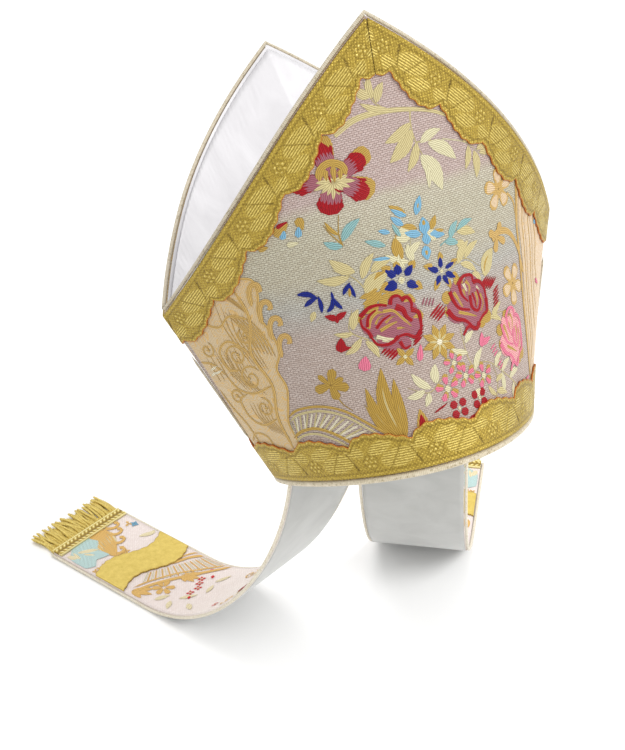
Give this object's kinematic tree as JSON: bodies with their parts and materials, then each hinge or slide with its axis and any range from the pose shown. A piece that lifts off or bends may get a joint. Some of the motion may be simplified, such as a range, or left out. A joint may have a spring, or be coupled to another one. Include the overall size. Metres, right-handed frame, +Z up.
{
  "type": "bishop mitre",
  "caption": "Ceremonial bishop's mitre with pointed front and back horns, scalloped galloon trim, piping, a lining with a soft gusset between the horns, and fringed lappets at the back rim.",
  "frame": {"origin": "centre of the head opening, in the plane of the hat's rim", "axes": "+Z is up, -Y is the way the wearer faces, +X is the wearer's left. The hat is tipped back about 24.5 degrees as a head wears it"},
  "size_m": [0.4066, 0.4211, 0.5377],
  "materials": {
    "brocade": "woven silk brocade, soft sheen",
    "gold_galloon": "metallic gold woven galloon",
    "white_lining": "white satin",
    "cream_piping": "twisted cream cord",
    "gold_fringe": "metallic gold thread"
  },
  "bodies": {
    "root": {"front_panel": "brocade", "front_lining": "white_lining", "front_left_galloon": "gold_galloon", "front_right_galloon": "gold_galloon", "front_rim_galloon": "gold_galloon", "front_edge_piping": "cream_piping", "back_panel": "brocade", "back_lining": "white_lining", "back_left_galloon": "gold_galloon", "back_right_galloon": "gold_galloon", "back_rim_galloon": "gold_galloon", "back_edge_piping": "cream_piping", "rim_piping": "cream_piping", "crown_gusset": "white_lining", "left_seam_cord": "cream_piping", "left_lappet": "brocade", "left_lappet_outer_piping": "cream_piping", "left_lappet_inner_piping": "cream_piping", "left_lappet_galloon": "gold_galloon", "left_fringe_braid": "gold_galloon", "left_fringe": "gold_fringe", "right_seam_cord": "cream_piping", "right_lappet": "brocade", "right_lappet_outer_piping": "cream_piping", "right_lappet_inner_piping": "cream_piping", "right_lappet_galloon": "gold_galloon", "right_fringe_braid": "gold_galloon", "right_fringe": "gold_fringe"}
  },
  "joints": []
}
